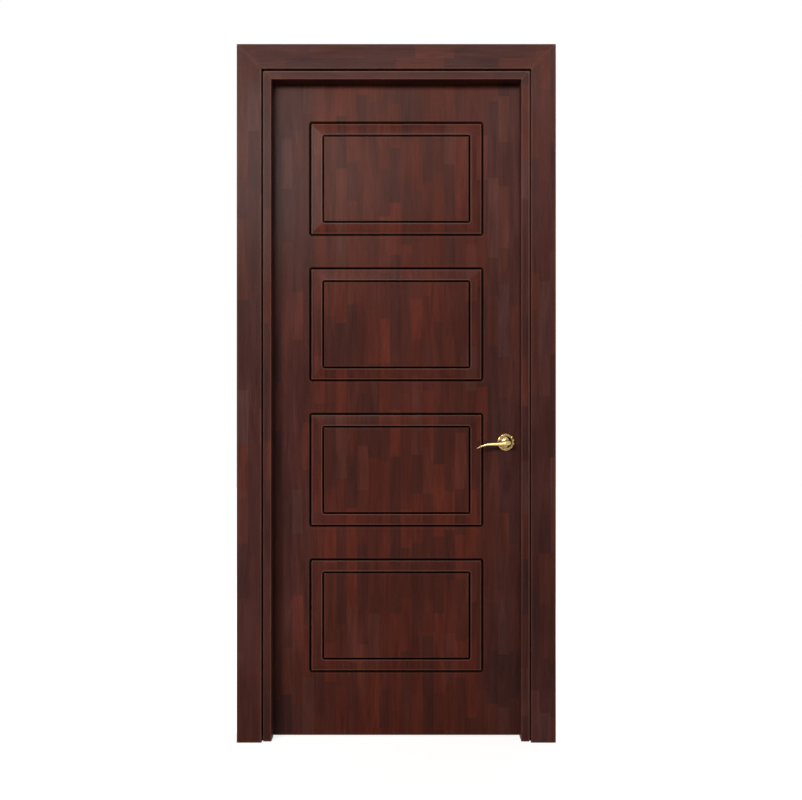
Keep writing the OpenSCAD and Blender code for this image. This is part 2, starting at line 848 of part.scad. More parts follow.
// Forend: the plate in the leaf's edge that the bolt passes through
module latch_forend() {
    color(brass) placed() difference() {
        at_lock() difference() {
            translate([case_front, -forend_w / 2, forend_rise - forend_h / 2])
                cube([forend_t, forend_w, forend_h]);
            translate([case_front - eps, -bolt_t / 2 - bolt_fit, bolt_rise - bolt_h / 2 - bolt_fit])
                cube([forend_t + 2 * eps, bolt_t + 2 * bolt_fit, bolt_h + 2 * bolt_fit]);
        }
        forend_screw_set(screw_fit);
    }
}

module forend_screws() {
    color(brass) placed() forend_screw_set();
}

// Follower: a hub on the spindle with journals in the case and an arm that draws the bolt
module follower() {
    side = spindle_w + 2 * spindle_fit;
    color(steel) placed() at_lock() difference() {
        union() {
            translate([0, -case_t / 2, 0]) along_y() cylinder(r = journal_r, h = case_t);
            translate([0, -case_in + bolt_fit, 0])
                along_y() cylinder(r = hub_r, h = 2 * (case_in - bolt_fit));
            translate([-arm_w / 2, -arm_t / 2, 0]) cube([arm_w, arm_t, arm_reach - arm_w / 2]);
            translate([0, -arm_t / 2, arm_reach - arm_w / 2]) along_y() cylinder(r = arm_w / 2, h = arm_t);
        }
        translate([-side / 2, -case_t, -side / 2]) cube([side, 2 * case_t, side]);
    }
}

// Latch bolt: bevelled head, drawbar and the finger that the follower's arm pushes
module latch_bolt() {
    color(brass) placed() at_lock() {
        translate([0, 0, bolt_rise - bolt_h / 2]) linear_extrude(bolt_h) polygon([
            [bolt_back, -bolt_t / 2], [backset, -bolt_t / 2], [bolt_tip, bolt_t / 2 - 2],
            [bolt_tip, bolt_t / 2], [bolt_back, bolt_t / 2]
        ]);
        translate([finger_x - finger_t / 2, 0, drawbar_rise]) along_x()
            cylinder(r = drawbar_r, h = bolt_back - finger_x + finger_t / 2 + eps);
        translate([finger_x - finger_t, -arm_t / 2 - eps, finger_low])
            cube([finger_t, arm_t + 2 * eps, drawbar_rise + drawbar_r - finger_low]);
    }
}

// Helical wire along X: rings of points swept round the drawbar
module latch_spring() {
    sides = 6;
    steps = 12;
    start = bridge_x + bridge_t + wire_r + bolt_fit / 2;
    pitch = (bolt_back - wire_r - bolt_fit / 2 - start) / spring_turns;
    rings = spring_turns * steps;
    points = [
        for (i = [0:rings], j = [0:sides - 1])
            let (turn = 360 * i / steps, round = 360 * j / sides, r = spring_r + wire_r * cos(round))
                [start + pitch * i / steps + wire_r * sin(round), r * cos(turn), r * sin(turn)]
    ];
    color(steel) placed() at_lock() translate([0, 0, drawbar_rise])
        polyhedron(points, tube_faces(rings, sides), convexity = 10);
}

// Faces of a closed tube of rings + 1 rings with the given sides
function tube_faces(rings, sides) = concat(
    [[for (j = [0:sides - 1]) j]],
    [for (i = [0:rings - 1], j = [0:sides - 1])
        let (k = (j + 1) % sides)
            [i * sides + j, (i + 1) * sides + j, (i + 1) * sides + k, i * sides + k]],
    [[for (j = [sides - 1:-1:0]) rings * sides + j]]
);

// Strike plate in the lock jamb with a lip to the rear edge
module strike_plate() {
    color(brass) placed() difference() {
        at_strike() difference() {
            linear_extrude(strike_t) strike_outline();
            strike_hole(strike_t + eps);
        }
        strike_screw_set(screw_fit);
    }
}

module strike_screws() {
    color(brass) placed() strike_screw_set();
}

// Places rose and lever pieces on the leaf's front face, with +Z pointing out of it
module at_rose() {
    translate([lock_x, leaf_front, lever_z]) rotate([90, 0, 0]) children();
}

// Screws of one rose base
module rose_base_screws(grow = 0) {
    at_rose() for (a = [45:90:315])
        rotate(a) translate([rose_screw_at, 0, rose_base_t]) screw(rose_screw_l, grow);
}

// Screws of both rose bases
module rose_screw_set(grow = 0) {
    rose_base_screws(grow);
    on_rear() rose_base_screws(grow);
}

module rose_screws() {
    color(steel) placed() rose_screw_set();
}

// Base that carries the lever's neck and holds the rose
module rose_base() {
    difference() {
        at_rose() difference() {
            union() {
                cylinder(r = rose_base_r, h = rose_base_t);
                translate([0, 0, -spigot_l]) cylinder(r = spigot_r, h = spigot_l + eps);
            }
            translate([0, 0, -spigot_l - eps])
                cylinder(r = neck_bore_r, h = spigot_l + rose_base_t + 2 * eps);
        }
        rose_base_screws(screw_fit);
    }
}

module front_rose_base() {
    color(steel) placed() rose_base();
}

module rear_rose_base() {
    color(steel) placed() on_rear() rose_base();
}

// Section of the rose: a rounded rim bead, a quirk and a dome with a hole for the neck
module rose_profile() {
    hole_r = neck_r + bolt_fit;
    bead_r = rose_bead_w / 2;
    seat_h = rose_base_t + let_in_fit;
    difference() {
        union() {
            translate([hole_r, 0]) square([rose_r - bead_r - hole_r, seat_h + rose_wall]);
            translate([rose_r - rose_bead_w, 0]) square([rose_bead_w, rose_bead_h - bead_r]);
            translate([rose_r - bead_r, rose_bead_h - bead_r]) circle(bead_r);
            intersection() {
                translate([hole_r, 0]) square([rose_dome_r - hole_r, rose_h]);
                translate([hole_r, 0]) dome_disc(rose_dome_r - hole_r, rose_h - seat_h - rose_wall);
            }
        }
        translate([0, -rose_h]) square([2 * rose_r, rose_h]);
        translate([0, -eps]) square([rose_base_r + let_in_fit, seat_h + eps]);
    }
}

// Disc whose edge is the dome's arc: level at the neck, and lower by rise at the given span
module dome_disc(span, rise) {
    r = (span * span + rise * rise) / (2 * rise);
    translate([0, rose_h - r]) circle(r, $fn = 96);
}

// Rose: a turned shell over the base
module rose() {
    at_rose() difference() {
        rotate_extrude() rose_profile();
        for (i = [0:rose_flutes - 1]) rotate(360 * (i + 0.5) / rose_flutes) rose_flute();
    }
}

// Flute across the rim bead of the rose
module rose_flute() {
    translate([rose_r - rose_bead_w, 0, rose_bead_h - rose_flute_d + rose_flute_r])
        along_x() cylinder(r = rose_flute_r, h = rose_bead_w + eps);
}

module front_rose() {
    color(brass) placed() rose();
}

module rear_rose() {
    color(brass) placed() on_rear() rose();
}

// Square spindle through both levers and the follower
module spindle() {
    long = leaf_t + 2 * spindle_grip;
    color(steel) placed() at_lock() translate([-spindle_w / 2, -long / 2, -spindle_w / 2])
        cube([spindle_w, long, spindle_w]);
}

// Point of a cubic curve with control points p
function curve(p, t) =
    pow(1 - t, 3) * p[0] + 3 * pow(1 - t, 2) * t * p[1] + 3 * (1 - t) * t * t * p[2] + pow(t, 3) * p[3];

// Control points of the lever's middle line: X along the lever and Y up
lever_line = [
    [lever_heel, 0], [-lever_len * 0.24, -lever_drop * 0.3],
    [-lever_len * 0.74, -lever_drop * 0.1], [-lever_len, -lever_drop]
];

// Rounding of the lever's two ends, as a share of the full section
function end_round(t) =
    t < 0.09 ? sqrt(1 - pow(1 - t / 0.09, 2)) : t > 0.95 ? sqrt(1 - pow((t - 0.95) / 0.05, 2)) : 1;

// Half height of the lever: a full heel, a slim arm and a thin tip
function lever_half_h(t) =
    let (arm = (lever_tip_h + (lever_arm_h - lever_tip_h) * (1 - t * t)) / 2)
        arm + (lever_hub_h - lever_arm_h) / 2 / (1 + pow(t / 0.28, 4));

// Half thickness of the lever
function lever_half_t(t) =
    let (full = pow(1 - max(0, t - 0.14) / 0.86, 1.4))
        (lever_tip_t + (lever_hub_t - lever_tip_t) * full) / 2;

// One ring of the lever's arm round its middle line at t
function lever_ring(t) =
    let (
        here = curve(lever_line, t),
        ahead = curve(lever_line, t + 0.001) - curve(lever_line, t - 0.001),
        up = [-ahead[1], ahead[0]] / norm(ahead),
        stand = lever_stand - lever_return * pow(max(0, t - 0.35) / 0.65, 2),
        half_h = lever_half_h(t) * end_round(t),
        half_t = lever_half_t(t) * end_round(t)
    )
    [for (j = [0:lever_sides - 1])
        let (a = 360 * j / lever_sides)
            [here[0] + up[0] * half_h * cos(a), here[1] + up[1] * half_h * cos(a), stand + half_t * sin(a)]];

// Lever's arm swept along its middle line
module lever_arm() {
    start = 0.002;
    points = [
        for (i = [0:lever_rings])
            each lever_ring(start + (1 - 2 * start) * (1 - cos(180 * i / lever_rings)) / 2)
    ];
    polyhedron(points, tube_faces(lever_rings, lever_sides), convexity = 4);
}

// Lever: a turned neck that runs in the rose's base, with the arm across its end
module lever() {
    side = spindle_w + 2 * spindle_fit;
    deep = spindle_grip + spindle_fit;
    at_rose() difference() {
        union() {
            translate([0, 0, -spigot_l]) cylinder(r = neck_r, h = spigot_l + lever_stand);
            lever_arm();
        }
        translate([-side / 2, -side / 2, -spigot_l - eps]) cube([side, side, spigot_l + deep + eps]);
        grub_screw(screw_fit);
    }
}

// Grub screw under the neck, half way along the spindle's grip, grown by a clearance
module grub_screw(grow = 0) {
    inner = spindle_w / 2 + spindle_fit;
    translate([0, -inner, (rose_h + spindle_grip) / 2]) rotate([90, 0, 0])
        cylinder(r = grub_r + grow, h = neck_r - inner - (grow > 0 ? -eps : eps));
}

module front_lever() {
    color(brass) placed() lever();
}

module rear_lever() {
    color(brass) placed() on_rear() lever();
}

module lever_grub_screws() {
    color(steel) placed() {
        at_rose() grub_screw();
        on_rear() at_rose() grub_screw();
    }
}

hinge_jamb();
lock_jamb();
head_jamb();
front_hinge_architrave();
front_lock_architrave();
front_head_architrave();
rear_hinge_architrave();
rear_lock_architrave();
rear_head_architrave();
hinge_seal();
lock_seal();
head_seal();
door_leaf();
low_hinge_frame_plate();
mid_hinge_frame_plate();
high_hinge_frame_plate();
low_hinge_leaf_plate();
mid_hinge_leaf_plate();
high_hinge_leaf_plate();
low_hinge_pin();
mid_hinge_pin();
high_hinge_pin();
hinge_frame_screws();
hinge_leaf_screws();
latch_case();
latch_cover();
case_rivets();
latch_forend();
forend_screws();
follower();
latch_bolt();
latch_spring();
strike_plate();
strike_screws();
front_rose();
rear_rose();
front_rose_base();
rear_rose_base();
rose_screws();
spindle();
front_lever();
rear_lever();
lever_grub_screws();
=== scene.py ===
"""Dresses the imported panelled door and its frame: stained stave timber, polished brass, plain studio."""
import math

import bpy
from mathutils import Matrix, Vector


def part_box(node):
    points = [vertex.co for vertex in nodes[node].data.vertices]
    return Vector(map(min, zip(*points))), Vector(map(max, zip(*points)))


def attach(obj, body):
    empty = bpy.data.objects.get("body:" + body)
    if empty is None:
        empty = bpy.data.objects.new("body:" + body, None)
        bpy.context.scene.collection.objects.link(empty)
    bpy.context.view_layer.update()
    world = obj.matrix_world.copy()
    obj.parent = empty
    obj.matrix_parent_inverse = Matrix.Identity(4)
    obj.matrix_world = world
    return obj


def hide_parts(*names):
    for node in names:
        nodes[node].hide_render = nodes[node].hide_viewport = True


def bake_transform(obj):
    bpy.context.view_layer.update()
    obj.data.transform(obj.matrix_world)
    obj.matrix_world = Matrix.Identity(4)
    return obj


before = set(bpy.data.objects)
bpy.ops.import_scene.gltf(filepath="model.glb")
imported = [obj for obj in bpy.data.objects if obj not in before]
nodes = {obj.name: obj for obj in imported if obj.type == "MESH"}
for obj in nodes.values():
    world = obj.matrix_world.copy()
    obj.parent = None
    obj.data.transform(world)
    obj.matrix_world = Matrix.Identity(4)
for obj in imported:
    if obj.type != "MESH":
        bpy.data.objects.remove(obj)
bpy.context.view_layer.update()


# Lining: two jambs and a head of solid stave timber, mitred at the top corners, with a stop and a rebate.
# The staves are short lengths glued end to end and side by side, stained a mahogany red and sprayed with a
# grey toner and satin lacquer, so each one keeps a tone of its own under an even sheen.
STAVE_WIDTH = 0.034
STAVE_LENGTH = 0.16
STREAK_WIDTH = 0.022
STREAK_LENGTH = 0.20
BLOTCH_SIZE = 0.30
RING_SPACING = 0.0065
# real grain is about 1 mm wide and real pores 0.2 mm: both are drawn coarser so that they show
GRAIN_WIDTH = 0.0026
GRAIN_LENGTH = 0.085
PORE_WIDTH = 0.0012
PORE_LENGTH = 0.014
PORE_DEPTH = 0.0006
PORE_RELIEF = 0.12
# how far columns of staves are shifted and how their lengths wander, in stave lengths
COLUMN_SHIFT = 23.0
LENGTH_WANDER = 1.1
WANDER_RATE = 0.7
# where each stave's figure starts anew, and how its rings stretch along the grain and waver
STAVE_JUMP = (7.0, 11.0, 13.0)
RING_STRETCH = (1.0, 1.0, 0.16)
RING_WAVER = 7.0
# a wave texture of scale 1 repeats after this distance, and a noise texture seldom leaves this span
WAVE_PERIOD = 0.314
NOISE_SPAN = (0.3, 0.7)
# a stave's stain by chance: from dark to red and paler, and last a few that are greyer
STAIN_TONES = (
    (0.00, "#44231E"),
    (0.22, "#49241E"),
    (0.50, "#4D251E"),
    (0.74, "#52261D"),
    (0.90, "#59291F"),
    (1.00, "#4F2C26"),
)
END_GRAIN = "#2E1A16"
END_FACING = 0.95
# what the toner does to red, green and blue
TONER = (0.90, 1.14, 1.36)
# painted shade darkens the wood within reach of a hollow, and stands also for glaze pooled there; a painted
# highlight lightens it within reach of an arris, and stands also for a sanded arris worn pale
CORNER_SAMPLES = 8
SHADE_AND_GLAZE_REACH = 0.010
ARRIS_REACH = 0.0045
ARRIS_SHARP, ARRIS_FLAT = 0.55, 0.92
# the pale tan of the painted arris highlight
ARRIS_HIGHLIGHT_PAINT = "#7A554A"
LACQUER_DULL, LACQUER_BRIGHT = 0.50, 0.40
LACQUER_SPECULAR = 0.02
LACQUER_COAT = 0.04
COAT_ROUGHNESS = 0.22


def linear(hex_colour):
    """A written sRGB colour as the linear colour that a shader takes."""
    parts = [int(hex_colour[i : i + 2], 16) / 255 for i in (1, 3, 5)]
    return [p / 12.92 if p <= 0.04045 else ((p + 0.055) / 1.055) ** 2.4 for p in parts] + [1.0]


def add_node(tree, kind, inputs=None, **settings):
    """Adds one node with its settings; an input is a value, or an output to link."""
    made = tree.nodes.new(kind)
    for name, value in settings.items():
        setattr(made, name, value)
    for name, value in (inputs or {}).items():
        if isinstance(value, bpy.types.NodeSocket):
            tree.links.new(value, made.inputs[name])
        else:
            made.inputs[name].default_value = value
    return made


def new_material(name):
    """An empty node material with its output, and the tree to fill."""
    material = bpy.data.materials.new(name)
    material.use_nodes = True
    tree = material.node_tree
    tree.nodes.clear()
    return material, tree, tree.nodes.new("ShaderNodeOutputMaterial")


def stave_timber(name, along, across, seed, thin_toner=None):
    """Stained stave timber whose grain runs along one axis and whose staves lie side by side on another.

    Its toner is even, or thins out between two distances from the middle of the staves' axis.
    """
    material, tree, output = new_material(name)
    depth = ({"X", "Y", "Z"} - {along, across}).pop()
    place = add_node(tree, "ShaderNodeTexCoord")
    split = add_node(tree, "ShaderNodeSeparateXYZ", {0: place.outputs["Object"]})
    run, side, deep = split.outputs[along], split.outputs[across], split.outputs[depth]

    # each column of staves is shifted by its own amount and cut to uneven lengths
    columns = add_node(
        tree, "ShaderNodeMath", {0: side, 1: 1 / STAVE_WIDTH, 2: seed}, operation="MULTIPLY_ADD"
    )
    column = add_node(tree, "ShaderNodeMath", {0: columns.outputs[0]}, operation="FLOOR")
    shift = add_node(tree, "ShaderNodeTexWhiteNoise", {"W": column.outputs[0]}, noise_dimensions="1D")
    start = add_node(
        tree, "ShaderNodeMath", {0: shift.outputs["Value"], 1: COLUMN_SHIFT}, operation="MULTIPLY"
    )
    length = add_node(
        tree, "ShaderNodeMath", {0: run, 1: 1 / STAVE_LENGTH, 2: start.outputs[0]}, operation="MULTIPLY_ADD"
    )
    uneven = add_node(
        tree, "ShaderNodeTexNoise", {"W": length.outputs[0], "Scale": WANDER_RATE}, noise_dimensions="1D"
    )
    stretch = add_node(
        tree,
        "ShaderNodeMath",
        {0: uneven.outputs[0], 1: LENGTH_WANDER, 2: length.outputs[0]},
        operation="MULTIPLY_ADD",
    )
    piece = add_node(tree, "ShaderNodeMath", {0: stretch.outputs[0]}, operation="FLOOR")
    key = add_node(tree, "ShaderNodeCombineXYZ", {0: column.outputs[0], 1: piece.outputs[0], 2: seed})
    chance = add_node(tree, "ShaderNodeTexWhiteNoise", {"Vector": key.outputs[0]}, noise_dimensions="3D")
    tone = add_node(tree, "ShaderNodeValToRGB", {0: chance.outputs["Value"]})
    ramp = tone.color_ramp
    while len(ramp.elements) < len(STAIN_TONES):
        ramp.elements.new(0.5)
    for element, (position, colour) in zip(ramp.elements, STAIN_TONES):
        element.position = position
        element.color = linear(colour)

    # grain, growth rings and pores start anew in each stave, while streaks and blotches of the stain run on
    jump = add_node(
        tree, "ShaderNodeVectorMath", {0: chance.outputs["Color"], 1: STAVE_JUMP}, operation="MULTIPLY"
    )
    ordered = add_node(tree, "ShaderNodeCombineXYZ", {0: side, 1: deep, 2: run})
    fibres = add_node(
        tree,
        "ShaderNodeVectorMath",
        {
            0: ordered.outputs[0],
            1: (1 / GRAIN_WIDTH, 1 / GRAIN_WIDTH, 1 / GRAIN_LENGTH),
            2: jump.outputs[0],
        },
        operation="MULTIPLY_ADD",
    )
    grain = add_node(
        tree,
        "ShaderNodeTexNoise",
        {"Vector": fibres.outputs[0], "Scale": 1.0, "Detail": 4.0, "Roughness": 0.6, "Distortion": 0.5},
    )
    slow = add_node(
        tree,
        "ShaderNodeVectorMath",
        {0: ordered.outputs[0], 1: RING_STRETCH, 2: jump.outputs[0]},
        operation="MULTIPLY_ADD",
    )
    rings = add_node(
        tree,
        "ShaderNodeTexWave",
        {
            "Vector": slow.outputs[0],
            "Scale": WAVE_PERIOD / RING_SPACING,
            "Distortion": RING_WAVER,
            "Detail": 2.0,
            "Detail Scale": 0.45,
        },
        wave_profile="SAW",
    )
    dashes = add_node(
        tree,
        "ShaderNodeVectorMath",
        {0: ordered.outputs[0], 1: (1 / PORE_WIDTH, 1 / PORE_WIDTH, 1 / PORE_LENGTH), 2: jump.outputs[0]},
        operation="MULTIPLY_ADD",
    )
    pores = add_node(tree, "ShaderNodeTexNoise", {"Vector": dashes.outputs[0], "Scale": 1.0, "Detail": 1.0})
    streaked = add_node(
        tree,
        "ShaderNodeVectorMath",
        {0: ordered.outputs[0], 1: (1 / STREAK_WIDTH, 1 / STREAK_WIDTH, 1 / STREAK_LENGTH)},
        operation="MULTIPLY",
    )
    streaks = add_node(
        tree,
        "ShaderNodeTexNoise",
        {"Vector": streaked.outputs[0], "Scale": 1.0, "Detail": 3.0, "Distortion": 0.8},
    )
    blotch = add_node(
        tree,
        "ShaderNodeTexNoise",
        {"Vector": place.outputs["Object"], "Scale": 1 / BLOTCH_SIZE, "Detail": 2.0},
    )

    # painted shade darkens grooves and corners, standing also for dark glaze pooled there, and a painted
    # highlight lightens the arrises, standing also for their paler sanded stain
    hollows = add_node(
        tree,
        "ShaderNodeAmbientOcclusion",
        {"Distance": SHADE_AND_GLAZE_REACH},
        samples=CORNER_SAMPLES,
        only_local=True,
    )
    arrises = add_node(
        tree,
        "ShaderNodeAmbientOcclusion",
        {"Distance": ARRIS_REACH},
        samples=CORNER_SAMPLES,
        only_local=True,
        inside=True,
    )
    shade = None
    for source, low, high, dark, bright in (
        # source, its low and high value, and the brightness that each gives
        (grain.outputs[0], *NOISE_SPAN, 0.86, 1.12),
        (rings.outputs[0], 0.0, 1.0, 0.93, 1.05),
        (pores.outputs[0], 0.32, 0.46, 0.86, 1.0),
        (streaks.outputs[0], *NOISE_SPAN, 0.78, 1.20),
        (blotch.outputs[0], *NOISE_SPAN, 0.84, 1.14),
        # painted shade: the wood darkens toward the bottom of grooves and corners
        (hollows.outputs["AO"], 0.72, 0.98, 0.03, 1.0),
    ):
        part = add_node(
            tree,
            "ShaderNodeMapRange",
            {"Value": source, "From Min": low, "From Max": high, "To Min": dark, "To Max": bright},
        )
        if shade is None:
            shade = part.outputs[0]
        else:
            shade = add_node(
                tree, "ShaderNodeMath", {0: shade, 1: part.outputs[0]}, operation="MULTIPLY"
            ).outputs[0]
    stained = add_node(
        tree, "ShaderNodeVectorMath", {0: tone.outputs[0], "Scale": shade}, operation="SCALE"
    )
    toner = add_node(tree, "ShaderNodeMix", {"Factor": 1.0, 4: (1, 1, 1), 5: TONER}, data_type="VECTOR")
    if thin_toner:
        middle = add_node(tree, "ShaderNodeMath", {0: side}, operation="ABSOLUTE")
        cover = add_node(
            tree,
            "ShaderNodeMapRange",
            {"Value": middle.outputs[0], "From Min": thin_toner[0], "From Max": thin_toner[1]},
            interpolation_type="SMOOTHSTEP",
        )
        tree.links.new(cover.outputs[0], toner.inputs["Factor"])
    toned = add_node(
        tree, "ShaderNodeVectorMath", {0: stained.outputs[0], 1: toner.outputs[1]}, operation="MULTIPLY"
    )
    # painted highlight: the arrises turn pale tan, standing also for their paler sanded stain
    arris_highlight = add_node(
        tree,
        "ShaderNodeMapRange",
        {
            "Value": arrises.outputs["AO"],
            "From Min": ARRIS_SHARP,
            "From Max": ARRIS_FLAT,
            "To Min": 1.0,
            "To Max": 0.0,
        },
    )
    wood = add_node(
        tree,
        "ShaderNodeMix",
        {"Factor": arris_highlight.outputs[0], 6: toned.outputs[0], 7: linear(ARRIS_HIGHLIGHT_PAINT)},
        data_type="RGBA",
    )

    # sawn ends soak up more stain
    facing = add_node(tree, "ShaderNodeSeparateXYZ", {0: place.outputs["Normal"]})
    ends = add_node(tree, "ShaderNodeMath", {0: facing.outputs[along]}, operation="ABSOLUTE")
    sawn = add_node(tree, "ShaderNodeMath", {0: ends.outputs[0], 1: END_FACING}, operation="GREATER_THAN")
    colour = add_node(
        tree,
        "ShaderNodeMix",
        {"Factor": sawn.outputs[0], 6: wood.outputs[2], 7: linear(END_GRAIN)},
        data_type="RGBA",
    )

    # the satin lacquer is duller over open grain and sinks a little into the pores
    sheen = add_node(
        tree,
        "ShaderNodeMapRange",
        {
            "Value": grain.outputs[0],
            "From Min": NOISE_SPAN[0],
            "From Max": NOISE_SPAN[1],
            "To Min": LACQUER_DULL,
            "To Max": LACQUER_BRIGHT,
        },
    )
    relief = add_node(
        tree,
        "ShaderNodeBump",
        {"Height": pores.outputs[0], "Strength": PORE_RELIEF, "Distance": PORE_DEPTH},
    )
    surface = add_node(
        tree,
        "ShaderNodeBsdfPrincipled",
        {
            "Base Color": colour.outputs[2],
            "Roughness": sheen.outputs[0],
            "Normal": relief.outputs[0],
            "Specular IOR Level": LACQUER_SPECULAR,
            "Coat Weight": LACQUER_COAT,
            "Coat Roughness": COAT_ROUGHNESS,
        },
    )
    tree.links.new(surface.outputs[0], output.inputs["Surface"])
    return material


def finish_with(material, *names):
    """Gives CAD nodes a finish in place of their plain slot colour."""
    for name in names:
        nodes[name].material_slots[0].material = material


finish_with(stave_timber("stained_stave_timber_hinge_jamb", "Z", "Y", seed=3.0), "hinge_jamb")
finish_with(stave_timber("stained_stave_timber_lock_jamb", "Z", "Y", seed=17.0), "lock_jamb")
finish_with(stave_timber("stained_stave_timber_head_jamb", "X", "Y", seed=31.0), "head_jamb")


# Architraves: flat cover boards of the same stave timber, mitred at the corners. A tongue on the back
# of each runs in the lining's groove, and the gap left beside it reads as a dark line.
finish_with(
    stave_timber("stained_stave_timber_hinge_architraves", "Z", "X", seed=5.37),
    "front_hinge_architrave",
    "rear_hinge_architrave",
)
finish_with(
    stave_timber("stained_stave_timber_lock_architraves", "Z", "X", seed=19.1),
    "front_lock_architrave",
    "rear_lock_architrave",
)
finish_with(
    stave_timber("stained_stave_timber_head_architraves", "X", "Z", seed=43.2),
    "front_head_architrave",
    "rear_head_architrave",
)


# Seals: extruded soft rubber strips pushed into a kerf in the stop, which the closed leaf presses on.
# Their skin is matt and near black, with a fine drag from the die.
SEAL_DARK, SEAL_PALE = "#1A1614", "#2A2421"
SEAL_ROUGHNESS = 0.72
# real drag marks are about 0.1 mm wide: they are drawn coarser so that they show
DIE_LINE = 0.0008
DIE_DEPTH = 0.0003
DIE_RELIEF = 0.2
seal_rubber, seal_tree, seal_output = new_material("extruded_seal_rubber")
seal_place = add_node(seal_tree, "ShaderNodeTexCoord")
seal_drag = add_node(
    seal_tree,
    "ShaderNodeTexNoise",
    {"Vector": seal_place.outputs["Object"], "Scale": 1 / DIE_LINE, "Detail": 2.0},
)
seal_tone = add_node(
    seal_tree,
    "ShaderNodeMix",
    {"Factor": seal_drag.outputs[0], 6: linear(SEAL_DARK), 7: linear(SEAL_PALE)},
    data_type="RGBA",
)
seal_relief = add_node(
    seal_tree,
    "ShaderNodeBump",
    {"Height": seal_drag.outputs[0], "Strength": DIE_RELIEF, "Distance": DIE_DEPTH},
)
seal_skin = add_node(
    seal_tree,
    "ShaderNodeBsdfPrincipled",
    {"Base Color": seal_tone.outputs[2], "Roughness": SEAL_ROUGHNESS, "Normal": seal_relief.outputs[0]},
)
seal_tree.links.new(seal_skin.outputs[0], seal_output.inputs["Surface"])
finish_with(seal_rubber, "hinge_seal", "lock_seal", "head_seal")


# Door leaf: one wide board glued up from upright staves, with the four panels routed into each face.
# The stave joints run straight through borders and fields, as no panel is a piece of its own. The toner
# covers the stiles and thins out toward the panels, which stay redder.
PANEL_REACH = (0.24, 0.33)
finish_with(
    stave_timber("stained_stave_timber_leaf", "Z", "X", seed=71.6, thin_toner=PANEL_REACH), "door_leaf"
)


# Hinges: three brass butt hinges let into leaf and jamb, each turning on a zinc-plated steel pin.
# Brass is drawn and polished, then clear lacquered, so it stays bright with faint cloudy handling marks.
SMUDGE_SIZE = 0.018
# real polishing lines are finer than 0.1 mm: they are drawn coarser so that they show
POLISH_LINE = 0.0009
POLISH_DEPTH = 0.0002
POLISH_RELIEF = 0.05
# painted shade: hollows keep a share of the metal's brightness, within reach of a corner, and this stands
# also for tarnish there
SHADE_AND_TARNISH_REACH = 0.006
SHADE_AND_TARNISH_DEEP, SHADE_AND_TARNISH_OPEN = 0.4, 0.95
SHADE_AND_TARNISH_SHARE = 0.25


def metal(name, bright, dull, smooth, rough):
    """A worked metal: two tones and a roughness in soft clouds, under fine polishing lines."""
    material, tree, output = new_material(name)
    place = add_node(tree, "ShaderNodeTexCoord")
    clouds = add_node(
        tree,
        "ShaderNodeTexNoise",
        {"Vector": place.outputs["Object"], "Scale": 1 / SMUDGE_SIZE, "Detail": 3.0, "Roughness": 0.6},
    )
    lines = add_node(
        tree,
        "ShaderNodeTexNoise",
        {"Vector": place.outputs["Object"], "Scale": 1 / POLISH_LINE, "Detail": 2.0},
    )
    tone = add_node(
        tree,
        "ShaderNodeMix",
        {"Factor": clouds.outputs[0], 6: linear(bright), 7: linear(dull)},
        data_type="RGBA",
    )
    hollows = add_node(
        tree,
        "ShaderNodeAmbientOcclusion",
        {"Distance": SHADE_AND_TARNISH_REACH},
        samples=CORNER_SAMPLES,
        only_local=True,
    )
    # painted shade in the metal's hollows, standing also for tarnish there
    shade_and_tarnish = add_node(
        tree,
        "ShaderNodeMapRange",
        {
            "Value": hollows.outputs["AO"],
            "From Min": SHADE_AND_TARNISH_DEEP,
            "From Max": SHADE_AND_TARNISH_OPEN,
            "To Min": SHADE_AND_TARNISH_SHARE,
            "To Max": 1.0,
        },
    )
    shaded_and_tarnished = add_node(
        tree, "ShaderNodeVectorMath", {0: tone.outputs[2], "Scale": shade_and_tarnish.outputs[0]}, operation="SCALE"
    )
    haze = add_node(
        tree,
        "ShaderNodeMapRange",
        {
            "Value": clouds.outputs[0],
            "From Min": NOISE_SPAN[0],
            "From Max": NOISE_SPAN[1],
            "To Min": smooth,
            "To Max": rough,
        },
    )
    relief = add_node(
        tree,
        "ShaderNodeBump",
        {"Height": lines.outputs[0], "Strength": POLISH_RELIEF, "Distance": POLISH_DEPTH},
    )
    surface = add_node(
        tree,
        "ShaderNodeBsdfPrincipled",
        {
            "Base Color": shaded_and_tarnished.outputs[0],
            "Metallic": 1.0,
            "Roughness": haze.outputs[0],
            "Normal": relief.outputs[0],
        },
    )
    tree.links.new(surface.outputs[0], output.inputs["Surface"])
    return material


polished_brass = metal("polished_brass", bright="#DCC286", dull="#97794A", smooth=0.08, rough=0.15)
plated_steel = metal("zinc_plated_steel", bright="#B9BBBD", dull="#8F9294", smooth=0.24, rough=0.38)
for position in ("low", "mid", "high"):
    finish_with(polished_brass, f"{position}_hinge_frame_plate", f"{position}_hinge_leaf_plate")
    finish_with(plated_steel, f"{position}_hinge_pin")
finish_with(polished_brass, "hinge_frame_screws", "hinge_leaf_screws")


# Latch: a pressed steel case in the leaf's edge behind a brass forend. The lever's spindle turns a
# follower, whose arm draws the bolt in against a coil spring; the strike plate in the jamb takes the bolt.
finish_with(plated_steel, "latch_case", "latch_cover", "case_rivets", "follower", "spindle")
finish_with(plated_steel, "front_rose_base", "rear_rose_base", "rose_screws", "lever_grub_screws")
finish_with(polished_brass, "latch_forend", "forend_screws", "latch_bolt", "strike_plate", "strike_screws")


